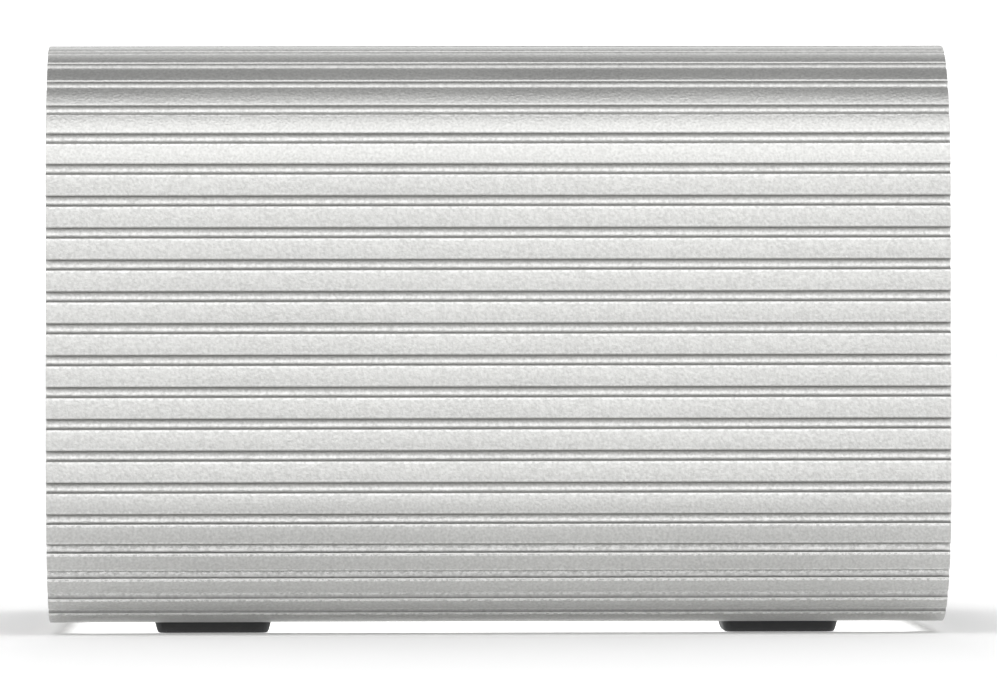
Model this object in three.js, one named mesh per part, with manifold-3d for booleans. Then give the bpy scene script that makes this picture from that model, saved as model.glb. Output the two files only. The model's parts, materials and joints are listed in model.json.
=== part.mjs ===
// A micro inverter: it turns 12 V DC from a battery into mains AC, in the 300 W class.
// A ribbed aluminium sleeve holds a circuit board, with an AC panel in its front end, and a panel with
// the fan, the DC terminals and the fuse in its rear end. Both panels are set back inside the sleeve.
// Units are millimetres. +X is the front, +Z is up, and the origin is on the surface that the feet
// stand on, under the middle of the sleeve.
import * as THREE from "three";
import { mergeVertices } from "three/addons/utils/BufferGeometryUtils.js";
import Module from "manifold-3d";

const wasm = await Module();
wasm.setup();

// ---------------------------------------------------------------- driving dimensions
const SLEEVE = { length: 100, width: 108, height: 64.5, shoulder: 15, wall: 2.2 };
const RIB = { pitch: 3.52, groove: 0.58, perSide: 33 }; // groove: radius of the half-round groove
const FOOT = { size: 12.7, height: 1.25, taper: 0.6, x: 31.8, y: 31.5 };
const PANEL = { recess: 5, thick: 2, gap: 0.3 };
const BOSS = { radius: 3.5, hole: 1.55, reach: 9.5 }; // reach: from the shoulder's centre, at 45 degrees
const BOARD = { thick: 1.6, underside: 14.2, from: -31.5, to: 42, halfWidth: 51.1 };
const FAN = { y: -22, size: 40, deep: 10, bore: 18.6, rotor: 18, hub: 11, screws: 16, shaft: 1.2 };
const WELL = { y: 20.5, z: -8, width: 40.6, height: 30, floor: 37.5, back: 3, barrier: 2, wall: 1.8 };
const LUG = { thick: 1, drop: 10.5 };
const TERMINAL = { spread: 9.75, z: -3, stud: 2.4, collar: 4.5, washer: 5.2, knob: 6 };
const FUSE = { y: 20.5, z: 19.5, width: 18.8, thick: 4.8, bladeWidth: 5.2, bladeThick: 0.7 };
const OUTLET = { radius: 17.2, halfHeight: 14.2, left: -29, right: 10, deep: 17 };
const SWITCH = { y: 39.2, z: -3, width: 15, height: 21, travel: 7, pivot: 45.4, pin: 1 };
const VENT = { width: 2, height: 7, step: 4.4, z: 21.5, from: -37, above: 14, below: 17 };
const GAP = 0.1; // between pieces that are assembled face to face
const RUN = 0.3; // between pieces that move past each other
const RUNNING_FIT = 0.05; // between a round pin and the hole that it turns in
const CORNER_STEPS = 4; // fineness of the sleeve's inner corners and the panels' corners

const BODY_MIDDLE = FOOT.height + SLEEVE.height / 2;
const HALF_LENGTH = SLEEVE.length / 2;
const PANEL_FACE = HALF_LENGTH - PANEL.recess; // a panel's outer face, measured from the middle
const PANEL_BACK = PANEL_FACE - PANEL.thick;
const BOSS_END = PANEL_BACK - GAP;
const INNER_WIDTH = SLEEVE.width - 2 * SLEEVE.wall;
const INNER_HEIGHT = SLEEVE.height - 2 * SLEEVE.wall;
const INNER_RADIUS = SLEEVE.shoulder - SLEEVE.wall;
const BOARD_TOP = BOARD.underside + BOARD.thick;

const X = new THREE.Vector3(1, 0, 0);
const Y = new THREE.Vector3(0, 1, 0);
const Z = new THREE.Vector3(0, 0, 1);

// ---------------------------------------------------------------- materials
const finish = (color, roughness, metalness = 0) =>
  new THREE.MeshStandardMaterial({ color, roughness, metalness });
const ANODISED = finish(0xc9c9c6, 0.42, 0.9);
const BLACK_PANEL = finish(0x1d1e20, 0.55, 0.2);
const RUBBER = finish(0x2b2c2e, 0.85);
const BLACK_PLASTIC = finish(0x161718, 0.5);
const OUTLET_PLASTIC = finish(0x24262a, 0.45);
const STEEL = finish(0xb9bcc0, 0.35, 1);
const BRASS = finish(0xc9a658, 0.35, 1);
const RED_PLASTIC = finish(0xb3201c, 0.45);
const FUSE_GREEN = finish(0x2f9e55, 0.25);
const GREEN_LENS = finish(0x4fd06a, 0.2);
const RED_LENS = finish(0xd04038, 0.2);
const LAMINATE = finish(0x1f5a37, 0.5);
const FERRITE = finish(0x33353a, 0.7);
const COPPER = finish(0xb5713c, 0.4, 0.9);
const CAN_SLEEVE = finish(0x1c2740, 0.35);
const SILICONE = finish(0x8f9aa6, 0.8);
const RED_WIRE = finish(0xb22a24, 0.5);
const BLACK_WIRE = finish(0x1a1a1b, 0.5);

// ---------------------------------------------------------------- solids
// A closed three.js geometry as a manifold-3d solid, for joining and cutting.
function solid(geometry) {
  const bare = geometry.clone();
  bare.deleteAttribute("normal");
  bare.deleteAttribute("uv");
  const merged = mergeVertices(bare, 1e-4);
  return new wasm.Manifold(
    new wasm.Mesh({
      numProp: 3,
      vertProperties: merged.attributes.position.array,
      triVerts: new Uint32Array(merged.index.array),
    }),
  );
}

function geometryOf(made) {
  const mesh = made.getMesh();
  const geometry = new THREE.BufferGeometry();
  geometry.setAttribute("position", new THREE.BufferAttribute(mesh.vertProperties, 3));
  geometry.setIndex(new THREE.BufferAttribute(mesh.triVerts, 1));
  geometry.computeVertexNormals();
  return geometry;
}

const join = (first, ...others) => others.reduce((sum, other) => sum.add(other), first);
const cut = (first, ...others) => others.reduce((rest, other) => rest.subtract(other), first);

// A block between two corners.
function block(x0, x1, y0, y1, z0, z1) {
  const geometry = new THREE.BoxGeometry(x1 - x0, y1 - y0, z1 - z0);
  return solid(geometry.translate((x0 + x1) / 2, (y0 + y1) / 2, (z0 + z1) / 2));
}

// A round bar along X between x0 and x1, centred on y, z.
function bar(radius, x0, x1, y = 0, z = 0, sides = 20) {
  const geometry = new THREE.CylinderGeometry(radius, radius, x1 - x0, sides).rotateZ(-Math.PI / 2);
  return solid(geometry.translate((x0 + x1) / 2, y, z));
}

// A round post along Z between z0 and z1, centred on x, y.
function post(radius, z0, z1, x = 0, y = 0, sides = 24) {
  const geometry = new THREE.CylinderGeometry(radius, radius, z1 - z0, sides).rotateX(Math.PI / 2);
  return solid(geometry.translate(x, y, (z0 + z1) / 2));
}

// An outline drawn in Y and Z, extruded along X between x0 and x1.
function slab(outline, x0, x1, curveSegments = 2) {
  const options = { depth: x1 - x0, bevelEnabled: false, curveSegments };
  const geometry = new THREE.ExtrudeGeometry(outline, options);
  geometry.applyMatrix4(new THREE.Matrix4().makeBasis(Y, Z, X));
  return solid(geometry.translate(x0, 0, 0));
}

// An outline drawn in X and Z, extruded along Y between y0 and y1.
function prism(outline, y0, y1) {
  const options = { depth: y1 - y0, bevelEnabled: false };
  const geometry = new THREE.ExtrudeGeometry(outline, options);
  geometry.applyMatrix4(new THREE.Matrix4().makeBasis(X, Z, Y.clone().negate()));
  return solid(geometry.translate(0, y1, 0));
}

function roundedRectangle(width, height, radius, centreX = 0, centreY = 0) {
  const a = width / 2 - radius;
  const b = height / 2 - radius;
  const shape = new THREE.Shape();
  shape.absarc(centreX + a, centreY + b, radius, 0, Math.PI / 2);
  shape.absarc(centreX - a, centreY + b, radius, Math.PI / 2, Math.PI);
  shape.absarc(centreX - a, centreY - b, radius, Math.PI, 1.5 * Math.PI);
  shape.absarc(centreX + a, centreY - b, radius, 1.5 * Math.PI, 2 * Math.PI);
  return shape;
}

// The radius of a hole whose flats clear a round pin.
const around = (radius, sides) => (radius + RUNNING_FIT) / Math.cos(Math.PI / sides);

const outlineOf = (points) => new THREE.Shape(points.map(([u, v]) => new THREE.Vector2(u, v)));

// ---------------------------------------------------------------- scene graph
const inverter = new THREE.Group();
const frontEnd = new THREE.Group(); // built looking outwards along +X
const rearEnd = new THREE.Group(); // the same, turned half round to look out along -X
const electronics = new THREE.Group(); // stands on the circuit board's top face
rearEnd.rotation.z = Math.PI;
frontEnd.position.z = BODY_MIDDLE;
rearEnd.position.z = BODY_MIDDLE;
electronics.position.z = BOARD_TOP;
inverter.add(frontEnd, rearEnd, electronics);

function place(parent, name, shape, material, position = [0, 0, 0]) {
  const mesh = new THREE.Mesh(shape.isBufferGeometry ? shape : geometryOf(shape), material);
  mesh.name = name;
  mesh.position.set(...position);
  parent.add(mesh);
  return mesh;
}

// ---------------------------------------------------------------- housing sleeve
// A point on the sleeve's outline at arc length s from the middle of the top, on the +Y side, moved
// outwards by `out`. The origin is the middle of the section.
function sleevePoint(s, out = 0) {
  const flat = SLEEVE.width / 2 - SLEEVE.shoulder;
  const side = SLEEVE.height - 2 * SLEEVE.shoulder;
  const arc = (SLEEVE.shoulder * Math.PI) / 2;
  const radius = SLEEVE.shoulder + out;
  if (s <= flat) return [s, SLEEVE.height / 2 + out];
  if (s <= flat + arc) {
    const turn = (s - flat) / SLEEVE.shoulder;
    return [flat + radius * Math.sin(turn), side / 2 + radius * Math.cos(turn)];
  }
  if (s <= flat + arc + side) return [SLEEVE.width / 2 + out, side / 2 - (s - flat - arc)];
  if (s <= flat + 2 * arc + side) {
    const turn = (s - flat - arc - side) / SLEEVE.shoulder;
    return [flat + radius * Math.cos(turn), -side / 2 - radius * Math.sin(turn)];
  }
  return [flat - (s - flat - 2 * arc - side), -SLEEVE.height / 2 - out];
}

// Half of the ribbed outline, from the top's middle round to the bottom's middle.
function ribbedHalf() {
  const points = [];
  const grooveSteps = 4;
  for (let k = 0; k < RIB.perSide; k++) {
    const middle = (k + 0.5) * RIB.pitch;
    for (let i = 0; i <= grooveSteps; i++) {
      const turn = (Math.PI * i) / grooveSteps;
      points.push(sleevePoint(middle - RIB.groove * Math.cos(turn), -RIB.groove * Math.sin(turn)));
    }
  }
  const bottomStart =
    SLEEVE.width / 2 + SLEEVE.height - 3 * SLEEVE.shoulder + SLEEVE.shoulder * Math.PI;
  const lastGroove = (RIB.perSide - 0.5) * RIB.pitch + RIB.groove;
  const landSteps = 4;
  for (let i = 1; i <= landSteps; i++) {
    points.push(sleevePoint(lastGroove + ((bottomStart - lastGroove) * i) / landSteps));
  }
  return points;
}

const bossCentres = [
  [1, 1],
  [-1, 1],
  [-1, -1],
  [1, -1],
].map(([sideways, upwards]) => {
  const reach = BOSS.reach * Math.SQRT1_2;
  const y = SLEEVE.width / 2 - SLEEVE.shoulder + reach;
  const z = SLEEVE.height / 2 - SLEEVE.shoulder + reach;
  return [sideways * y, upwards * z];
});

function housingSleeve() {
  const right = ribbedHalf();
  const left = right.map(([y, z]) => [-y, z]).reverse();
  const outline = outlineOf([...right, ...left].reverse());
  const inside = roundedRectangle(INNER_WIDTH, INNER_HEIGHT, INNER_RADIUS);
  outline.holes.push(new THREE.Path(inside.getPoints(CORNER_STEPS)));
  const bosses = bossCentres.map(([y, z]) => bar(BOSS.radius, -BOSS_END, BOSS_END, y, z));
  const holes = bossCentres.map(([y, z]) => bar(BOSS.hole, -HALF_LENGTH, HALF_LENGTH, y, z, 12));
  return cut(join(slab(outline, -HALF_LENGTH, HALF_LENGTH), ...bosses, ...cardGuides()), ...holes);
}

// Two ledges on each side wall, with the circuit board's edge between them.
function cardGuides() {
  const ledge = { thick: 1.2, tip: 48.5 };
  const slot = { from: BOARD.underside - 0.2, to: BOARD_TOP + 0.2 };
  const guides = [];
  for (const side of [-1, 1]) {
    for (const bottom of [slot.from - ledge.thick, slot.to]) {
      const z = bottom - BODY_MIDDLE;
      const ends = [side * ledge.tip, side * (INNER_WIDTH / 2 + 0.5)].sort((a, b) => a - b);
      guides.push(block(-BOSS_END, BOSS_END, ...ends, z, z + ledge.thick));
    }
  }
  return guides;
}

place(inverter, "housing_sleeve", housingSleeve(), ANODISED, [0, 0, BODY_MIDDLE]);

// ---------------------------------------------------------------- feet
function rubberFoot() {
  const base = FOOT.size - 2 * FOOT.taper;
  const options = {
    depth: FOOT.height - 0.2,
    bevelThickness: FOOT.height,
    bevelSize: FOOT.taper,
    bevelSegments: 1,
    curveSegments: 4,
  };
  const pad = new THREE.ExtrudeGeometry(roundedRectangle(base, base, 1.6), options);
  const above = block(-FOOT.size, FOOT.size, -FOOT.size, FOOT.size, FOOT.height, 4 * FOOT.height);
  return cut(solid(pad.translate(0, 0, FOOT.height)), above);
}

[
  [-1, -1],
  [1, -1],
  [-1, 1],
  [1, 1],
].forEach(([alongX, alongY], i) => {
  place(inverter, `rubber_foot_${i + 1}`, rubberFoot(), RUBBER, [FOOT.x * alongX, FOOT.y * alongY, 0]);
});

// ---------------------------------------------------------------- screws
// A pan-head screw pointing along -X, with its head's underside at x = 0.
function panScrew({ head, shank, length, recess }) {
  const cross = join(
    block(0.8, 4, -recess, recess, -0.35, 0.35),
    block(0.8, 4, -0.35, 0.35, -recess, recess),
  );
  const profile = [
    [0, -length],
    [shank, -length],
    [shank, GAP],
    [head, GAP],
    [head, 1],
    [head * 0.76, 1.7],
    [0, 1.7],
  ].map(([radius, height]) => new THREE.Vector2(radius, height));
  return cut(solid(new THREE.LatheGeometry(profile, 12).rotateZ(-Math.PI / 2)), cross);
}

const panelScrew = { head: 2.8, shank: 1.4, length: 9, recess: 1.5 };
const fanScrew = { head: 2.7, shank: 1.4, length: 9, recess: 1.4 };
for (const [end, parent] of [
  ["front", frontEnd],
  ["rear", rearEnd],
]) {
  bossCentres.forEach(([y, z], i) => {
    const name = `${end}_panel_screw_${i + 1}`;
    place(parent, name, panScrew(panelScrew), STEEL, [PANEL_FACE, y, z]);
  });
}

// ---------------------------------------------------------------- end panels
// A blank panel that fits the inside of the sleeve, with its four screw holes.
function blankPanel() {
  const width = INNER_WIDTH - 2 * PANEL.gap;
  const height = INNER_HEIGHT - 2 * PANEL.gap;
  const plate = slab(
    roundedRectangle(width, height, INNER_RADIUS - PANEL.gap),
    PANEL_BACK,
    PANEL_FACE,
    CORNER_STEPS,
  );
  return cut(plate, ...bossCentres.map(([y, z]) => through(1.7, y, z)));
}

const through = (radius, y, z, sides = 12) => bar(radius, PANEL_BACK - 1, PANEL_FACE + 1, y, z, sides);

// A row of upright vent slots, centred at height z.
function ventRow(z, from, count) {
  const { width, height, step } = VENT;
  const a = width / 2;
  const b = height / 2;
  return Array.from({ length: count }, (_, i) => {
    const y = from + i * step;
    const outline = outlineOf([
      [y + a, z - b + 0.7],
      [y + a, z + b - 0.7],
      [y + 0.35, z + b],
      [y - 0.35, z + b],
      [y - a, z + b - 0.7],
      [y - a, z - b + 0.7],
      [y - 0.35, z - b],
      [y + 0.35, z - b],
    ]);
    return slab(outline, PANEL_BACK - 1, PANEL_FACE + 1);
  });
}

// ---------------------------------------------------------------- front panel: AC side
const ledPlaces = [
  ["power_led", 35.6, GREEN_LENS],
  ["fault_led", 42.8, RED_LENS],
];
const LED = { radius: 1.5, z: 15.5 };

// A mains socket's face: a circle with its top and bottom cut flat.
function outletOutline(y, grow = 0) {
  const radius = OUTLET.radius + grow;
  const limit = Math.asin((OUTLET.halfHeight + grow) / radius);
  const shape = new THREE.Shape();
  shape.absarc(y, 0, radius, -limit, limit);
  shape.absarc(y, 0, radius, Math.PI - limit, Math.PI + limit);
  return shape;
}

function frontPanel() {
  const outlets = [OUTLET.left, OUTLET.right].map((y) =>
    slab(outletOutline(y, GAP), PANEL_BACK - 1, PANEL_FACE + 1, 6),
  );
  const switchHole = roundedRectangle(13, 19, 0.8, SWITCH.y, SWITCH.z);
  return cut(
    blankPanel(),
    ...outlets,
    slab(switchHole, PANEL_BACK - 1, PANEL_FACE + 1),
    ...ledPlaces.map(([, y]) => through(LED.radius + GAP, y, LED.z, 12)),
    ...ventRow(VENT.z, VENT.from, VENT.above),
    ...ventRow(-VENT.z, VENT.from, VENT.below),
  );
}

// A three-pin socket: two blade slots and an earth hole, facing +X.
function acOutlet() {
  const slotDepth = 12;
  const face = slab(outletOutline(0), PANEL_BACK - GAP, PANEL_FACE + 1.5, 6);
  const flange = block(PANEL_BACK - 1.6, PANEL_BACK - GAP, -18, 18, -15.5, 15.5);
  const body = block(PANEL_FACE - OUTLET.deep, PANEL_BACK - GAP, -16.5, 16.5, -13.5, 13.5);
  const slots = [
    [-6.35, 8],
    [6.35, 6.6],
  ].map(([y, tall]) => block(PANEL_FACE - slotDepth, PANEL_FACE + 3, y - 1, y + 1, 4.2 - tall / 2, 4.2 + tall / 2));
  const earth = join(
    bar(2.5, PANEL_FACE - slotDepth, PANEL_FACE + 3, 0, -7.6, 16),
    block(PANEL_FACE - slotDepth, PANEL_FACE + 3, -2.5, 2.5, -7.6, -5.6),
  );
  return cut(join(face, flange, body), ...slots, earth);
}

// The rocker switch's body: a snap-in housing with a bezel, open to the front for the rocker.
function switchBody() {
  const bezel = slab(roundedRectangle(SWITCH.width, SWITCH.height, 1), PANEL_FACE + GAP, PANEL_FACE + 2);
  const housing = slab(roundedRectangle(12.6, 18.6, 0.8), 31, PANEL_FACE + 1);
  const cavity = block(39, PANEL_FACE + 3, -5.6, 5.6, -8.4, 8.4);
  const tabs = [-5, 0, 5].map((z) => block(25, 32, -2.4, 2.4, z - 0.4, z + 0.4));
  const pinHole = crossPin(around(SWITCH.pin, 12), 6.1).translate([SWITCH.pivot, 0, 0]);
  return cut(join(housing, bezel, ...tabs), cavity, pinHole);
}

// A round pin along Y, reaching equally to both sides.
function crossPin(radius, reach) {
  return solid(new THREE.CylinderGeometry(radius, radius, 2 * reach, 12));
}

// The rocker at its off position, tipped about a cross axis through its own origin.
function switchRocker() {
  const profile = outlineOf([
    [-1.5, -7.8],
    [2.6, -7.8],
    [1.7, 0],
    [2.6, 7.8],
    [-1.5, 7.8],
    [-4.6, 2.4],
    [-4.6, -2.4],
  ]);
  const made = join(prism(profile, -5.3, 5.3), crossPin(SWITCH.pin, 5.9));
  return geometryOf(made).rotateY(THREE.MathUtils.degToRad(SWITCH.travel));
}

function led() {
  const lens = new THREE.CapsuleGeometry(LED.radius, 6, 2, 10).rotateZ(Math.PI / 2);
  const rim = bar(LED.radius + 0.4, -4, -2.2, 0, 0, 12);
  return join(solid(lens.translate(-2.3, 0, 0)), rim);
}

place(frontEnd, "front_panel", frontPanel(), BLACK_PANEL);
place(frontEnd, "ac_outlet_left", acOutlet(), OUTLET_PLASTIC, [0, OUTLET.left, 0]);
place(frontEnd, "ac_outlet_right", acOutlet(), OUTLET_PLASTIC, [0, OUTLET.right, 0]);
place(frontEnd, "switch_body", switchBody(), BLACK_PLASTIC, [0, SWITCH.y, SWITCH.z]);
place(frontEnd, "switch_rocker", switchRocker(), BLACK_PLASTIC, [SWITCH.pivot, SWITCH.y, SWITCH.z]);
for (const [name, y, lens] of ledPlaces) {
  place(frontEnd, name, led(), lens, [PANEL_FACE - GAP, y, LED.z]);
}

// ---------------------------------------------------------------- rear panel: DC side
const fanScrewPlaces = [-1, 1].flatMap((a) =>
  [-1, 1].map((b) => [FAN.y + a * FAN.screws, b * FAN.screws]),
);
const EARTH_SCREW = { y: 1, z: 23.5 };
const FUSE_HOLDER = { width: 24, height: 9.4 };

// The fan's air holes: rings cut through the panel, crossed by spokes.
function fanGrille() {
  const sides = 28;
  const rings = [
    [14.6, 17.6],
    [10, 13],
    [5.4, 8.4],
  ].map(([inner, outer]) =>
    cut(through(outer, FAN.y, 0, sides), bar(inner, 0, HALF_LENGTH, FAN.y, 0, sides)),
  );
  const spokes = [
    block(0, HALF_LENGTH, FAN.y - 20, FAN.y + 20, -0.9, 0.9),
    block(0, HALF_LENGTH, FAN.y - 0.9, FAN.y + 0.9, -20, 20),
  ];
  return rings.map((ring) => cut(ring, ...spokes));
}

function rearPanel() {
  const wellHole = roundedRectangle(WELL.width + 0.4, WELL.height + 0.4, 1.2, WELL.y, WELL.z);
  const fuseHole = roundedRectangle(FUSE_HOLDER.width + 0.4, FUSE_HOLDER.height + 0.4, 0.8, FUSE.y, FUSE.z);
  return cut(
    blankPanel(),
    ...fanGrille(),
    ...fanScrewPlaces.map(([y, z]) => through(1.7, y, z)),
    slab(wellHole, PANEL_BACK - 1, PANEL_FACE + 1),
    slab(fuseHole, PANEL_BACK - 1, PANEL_FACE + 1),
    through(2.1, EARTH_SCREW.y, EARTH_SCREW.z),
  );
}

function fanFrame() {
  const outline = roundedRectangle(FAN.size, FAN.size, 3);
  const front = PANEL_BACK - GAP;
  const back = front - FAN.deep;
  const struts = [30, 150, 270].map((degrees) => {
    const strut = new THREE.BoxGeometry(1.2, FAN.bore + 1, 2).translate(back + 0.6, (FAN.bore + 1) / 2, 0);
    return solid(strut.rotateX(THREE.MathUtils.degToRad(degrees)));
  });
  const corners = fanScrewPlaces.map(([y, z]) => bar(1.8, back - 1, front + 1, y - FAN.y, z, 12));
  const tunnel = bar(FAN.bore, back - 1, front + 1, 0, 0, 32);
  const motor = join(
    bar(FAN.hub - 1, back, back + 1.2, 0, 0, 20),
    bar(FAN.hub - 2.4, back, front - 3, 0, 0, 20),
  );
  const bearing = bar(around(FAN.shaft, 12), back - 1, front, 0, 0, 12);
  return cut(join(cut(slab(outline, back, front), tunnel), motor, ...struts), bearing, ...corners);
}

// Seven pitched blades on a cup that turns about X, with its shaft in the frame's bearing.
function fanRotor() {
  const front = PANEL_BACK - GAP - 0.8;
  const back = PANEL_BACK - GAP - FAN.deep + 1.2 + RUN;
  const middle = (front + back) / 2;
  const blades = [];
  for (let k = 0; k < 7; k++) {
    const blade = new THREE.BoxGeometry(1, FAN.rotor, 9);
    blade.rotateY(THREE.MathUtils.degToRad(52)).translate(middle, FAN.rotor / 2 + 3, 0);
    blades.push(solid(blade.rotateX((2 * Math.PI * k) / 7)));
  }
  const envelope = bar(FAN.rotor, back, front, 0, 0, 28);
  const bladed = join(bar(FAN.hub, back, front, 0, 0, 28), ...blades).intersect(envelope);
  const hollow = bar(FAN.hub - 1.2, back - 1, front - 1.5, 0, 0, 20);
  return join(cut(bladed, hollow), bar(FAN.shaft, back - 1, front - 1, 0, 0, 12));
}

// The moulded well that holds the two DC terminals. Its lower side is a ramp, so that a cable on a
// terminal can bend out of it.
function terminalWell() {
  const rim = PANEL_FACE + 1.3;
  const back = WELL.floor - WELL.back;
  const outer = slab(roundedRectangle(WELL.width, WELL.height, 1), back, PANEL_FACE + 1);
  const flange = slab(roundedRectangle(WELL.width + 3, WELL.height + 3, 2), PANEL_FACE + GAP, rim);
  const bay = {
    width: (WELL.width - 2 * WELL.wall - WELL.barrier) / 2,
    bottom: -WELL.height / 2 + WELL.wall,
    top: WELL.height / 2 - WELL.wall,
  };
  const opening = outlineOf([
    [WELL.floor, bay.bottom + 7],
    [PANEL_FACE - 1, bay.bottom],
    [rim + 1, bay.bottom],
    [rim + 1, bay.top],
    [WELL.floor, bay.top],
  ]);
  const bays = [-1, 1].map((side) => {
    const inner = side * (WELL.barrier / 2);
    const ends = [inner, inner + side * bay.width].sort((a, b) => a - b);
    return prism(opening, ...ends);
  });
  const studHoles = [-1, 1].map((side) =>
    bar(TERMINAL.stud + GAP, WELL.floor - 4, WELL.floor + 1, side * TERMINAL.spread, TERMINAL.z - WELL.z, 16),
  );
  return cut(join(outer, flange), ...bays, ...studHoles);
}

// A terminal's pieces, on its own axis. The knob unscrews along +X and carries the washer.
const STACK = {
  collar: [WELL.floor + GAP, WELL.floor + 1.4],
  washer: [WELL.floor + 1.7, WELL.floor + 2.7],
  knob: [WELL.floor + 3, HALF_LENGTH - 0.4],
};
const STUD_END = STACK.knob[1] - 2.4;

function terminalStud() {
  const nutFace = WELL.floor - WELL.back - LUG.thick - GAP;
  const nutSides = 6;
  return join(
    bar(TERMINAL.stud, nutFace - 2.6, STUD_END, 0, 0, 16),
    bar(TERMINAL.collar, ...STACK.collar, 0, 0, 20),
    bar(TERMINAL.collar, nutFace - 2.1, nutFace, 0, 0, nutSides),
  );
}

function terminalWasher() {
  return cut(
    bar(TERMINAL.washer, ...STACK.washer, 0, 0, 24),
    bar(around(TERMINAL.stud, 16), 0, HALF_LENGTH, 0, 0, 16),
  );
}

// A thumb nut with finger flutes and a blind threaded hole.
function terminalKnob() {
  const flutes = 8;
  const steps = 4;
  const outline = [];
  for (let i = 0; i < flutes * steps; i++) {
    const turn = (2 * Math.PI * i) / (flutes * steps);
    const radius = TERMINAL.knob - 0.5 + 0.5 * Math.cos(flutes * turn);
    outline.push([radius * Math.cos(turn), radius * Math.sin(turn)]);
  }
  return cut(
    join(
      slab(outlineOf(outline), STACK.knob[0] + 1.2, STACK.knob[1] - 0.8),
      bar(TERMINAL.knob - 1.3, STACK.knob[0], STACK.knob[1], 0, 0, 24),
    ),
    bar(around(TERMINAL.stud, 16), 0, STUD_END + 0.4, 0, 0, 16),
  );
}

// The fuse holder: a pocket for the fuse's body, with a slot for each blade behind it.
const FUSE_BODY = { inner: 38.3, outer: 49.3 };
const BLADE_TIP = 30.6;
const bladeOffsets = [-6.6, 6.6];

function fuseHolder() {
  const holder = slab(roundedRectangle(FUSE_HOLDER.width, FUSE_HOLDER.height, 0.8), 28.6, PANEL_FACE + 1);
  const flange = slab(roundedRectangle(27, 12.4, 1.5), PANEL_FACE + GAP, PANEL_FACE + 1.3);
  const pocket = [FUSE.width / 2 + RUN, FUSE.thick / 2 + RUN];
  const slot = [FUSE.bladeWidth / 2 + RUN, FUSE.bladeThick / 2 + RUN];
  return cut(
    join(holder, flange),
    block(FUSE_BODY.inner - RUN, HALF_LENGTH, -pocket[0], pocket[0], -pocket[1], pocket[1]),
    ...bladeOffsets.map((y) =>
      block(BLADE_TIP - RUN, HALF_LENGTH, y - slot[0], y + slot[0], -slot[1], slot[1]),
    ),
  );
}

function bladeFuse() {
  const half = FUSE.width / 2;
  const waist = half - 1.4;
  const head = block(FUSE_BODY.outer - 3.6, FUSE_BODY.outer, -half, half, -FUSE.thick / 2, FUSE.thick / 2);
  const body = block(FUSE_BODY.inner, FUSE_BODY.outer - 3, -waist, waist, -FUSE.thick / 2, FUSE.thick / 2);
  const blades = bladeOffsets.map((y) =>
    block(BLADE_TIP, FUSE_BODY.inner + 1, y - FUSE.bladeWidth / 2, y + FUSE.bladeWidth / 2, -FUSE.bladeThick / 2, FUSE.bladeThick / 2),
  );
  return join(head, body, ...blades);
}

// The earth screw, with the washer under its head.
function earthScrew() {
  const screw = panScrew({ head: 3.4, shank: 1.9, length: 8, recess: 1.9 });
  return join(screw, bar(4, GAP, 0.9, 0, 0, 16));
}

place(rearEnd, "rear_panel", rearPanel(), BLACK_PANEL);
place(rearEnd, "fan_frame", fanFrame(), BLACK_PLASTIC, [0, FAN.y, 0]);
place(rearEnd, "fan_rotor", fanRotor(), BLACK_PLASTIC, [0, FAN.y, 0]);
fanScrewPlaces.forEach(([y, z], i) => {
  place(rearEnd, `fan_screw_${i + 1}`, panScrew(fanScrew), STEEL, [PANEL_FACE, y, z]);
});
place(rearEnd, "terminal_well", terminalWell(), BLACK_PLASTIC, [0, WELL.y, WELL.z]);
for (const [pole, side, plastic] of [
  ["negative", -1, BLACK_PLASTIC],
  ["positive", 1, RED_PLASTIC],
]) {
  const centre = [0, WELL.y + side * TERMINAL.spread, TERMINAL.z];
  place(rearEnd, `${pole}_stud`, terminalStud(), BRASS, centre);
  place(rearEnd, `${pole}_lead`, dcLead(), side > 0 ? RED_WIRE : BLACK_WIRE, centre);
  place(rearEnd, `${pole}_washer`, terminalWasher(), BRASS, centre);
  place(rearEnd, `${pole}_knob`, terminalKnob(), plastic, centre);
}
place(rearEnd, "fuse_holder", fuseHolder(), BLACK_PLASTIC, [0, FUSE.y, FUSE.z]);
place(rearEnd, "blade_fuse", bladeFuse(), FUSE_GREEN, [0, FUSE.y, FUSE.z]);
place(rearEnd, "earth_screw", earthScrew(), STEEL, [PANEL_FACE, EARTH_SCREW.y, EARTH_SCREW.z]);

// ---------------------------------------------------------------- electronics
// Everything here stands on the board's top face, at z = 0 in this group.
function mainBoard() {
  const { from, to, halfWidth, thick } = BOARD;
  return block(from, to, -halfWidth, halfWidth, -thick, 0);
}

const CORE = { width: 36, thick: 12, height: 33, leg: 11, window: 6.8, windowHeight: 21 };

// A ferrite core with a middle leg and two windows.
function transformerCore() {
  const { width, thick, height, leg, window, windowHeight } = CORE;
  const bottom = (height - windowHeight) / 2;
  const windows = [-1, 1].map((side) => {
    const ends = [(side * leg) / 2, side * (leg / 2 + window)].sort((a, b) => a - b);
    return block(...ends, -thick, thick, bottom, bottom + windowHeight);
  });
  return cut(block(-width / 2, width / 2, -thick / 2, thick / 2, 0, height), ...windows);
}

// A ring with a square hole round the middle leg, in the core's windows.
function legRing(halfX, halfY, grow, z0, z1) {
  const hole = [CORE.leg / 2 + grow, CORE.thick / 2 + grow];
  return cut(
    block(-halfX, halfX, -halfY, halfY, z0, z1),
    block(-hole[0], hole[0], -hole[1], hole[1], z0 - 1, z1 + 1),
  );
}

const COIL = { bottom: 7.4, top: 25.6, flange: 1.2 };

function transformerBobbin() {
  return join(
    legRing(7.1, 7.7, GAP, COIL.bottom - COIL.flange, COIL.top + COIL.flange),
    legRing(12, 15, GAP, COIL.bottom - COIL.flange, COIL.bottom),
    legRing(12, 15, GAP, COIL.top, COIL.top + COIL.flange),
  );
}

function transformerWinding() {
  return legRing(11.6, 14, 1.8, COIL.bottom + GAP, COIL.top - GAP);
}

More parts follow.
